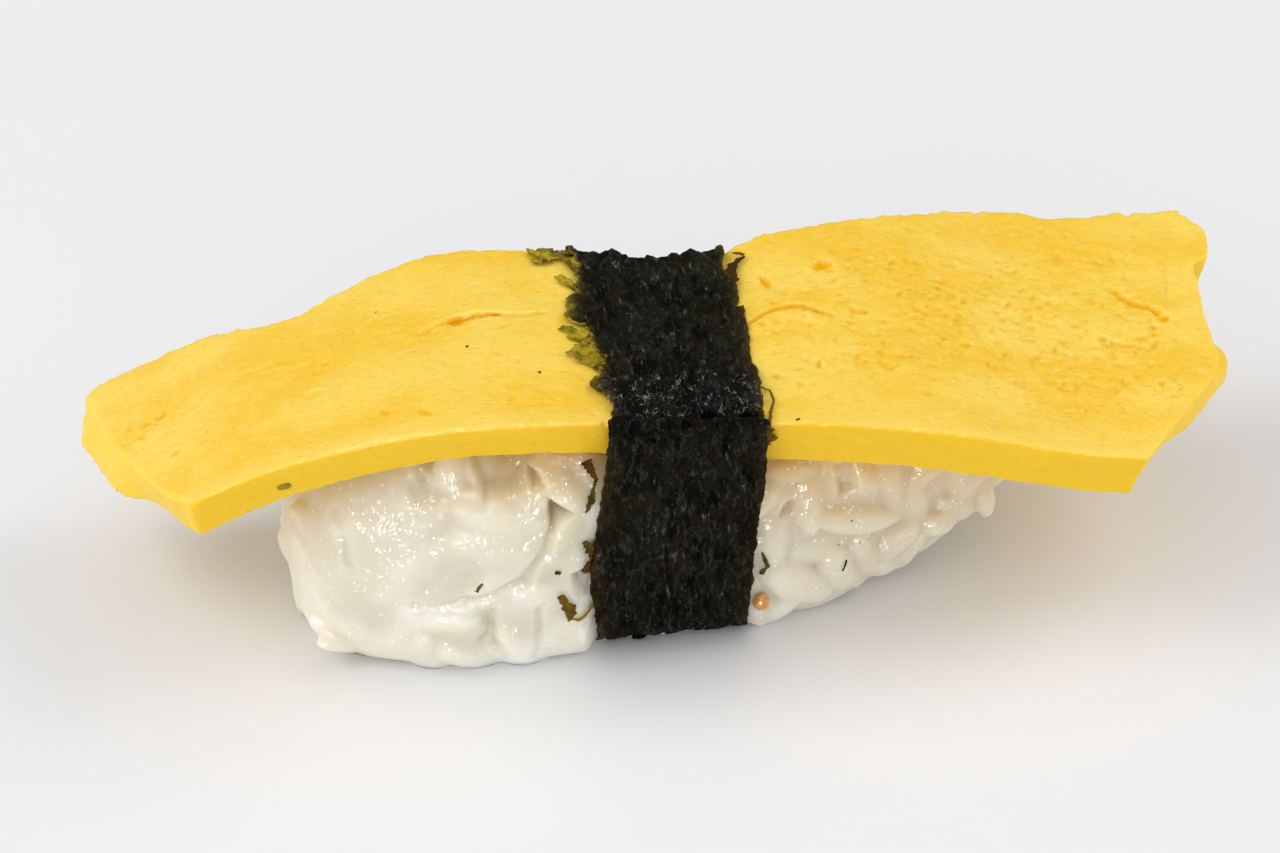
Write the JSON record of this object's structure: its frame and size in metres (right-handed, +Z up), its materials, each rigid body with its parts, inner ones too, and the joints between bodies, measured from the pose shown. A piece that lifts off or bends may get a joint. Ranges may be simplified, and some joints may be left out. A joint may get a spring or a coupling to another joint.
{
  "type": "tamago nigiri",
  "caption": "Tamago nigiri: a slice of rolled omelette draped over a pressed ball of rice, tied round the middle by a band of dried seaweed.",
  "frame": {"origin": "on the surface that the nigiri rests on, under the middle of its box", "axes": "+X along the nigiri towards the omelette's wider end, -Y its front, +Z up"},
  "size_m": [0.0832, 0.0278, 0.0215],
  "materials": {
    "rice": "moist, slightly translucent white grains",
    "omelette": "soft moist yellow with fine pores and cracks",
    "seaweed": "crinkled dark green sheet, glossy where moist"
  },
  "bodies": {
    "root": {"rice_ball": "rice", "omelette_slice": "omelette", "seaweed_band": "seaweed"}
  },
  "joints": []
}
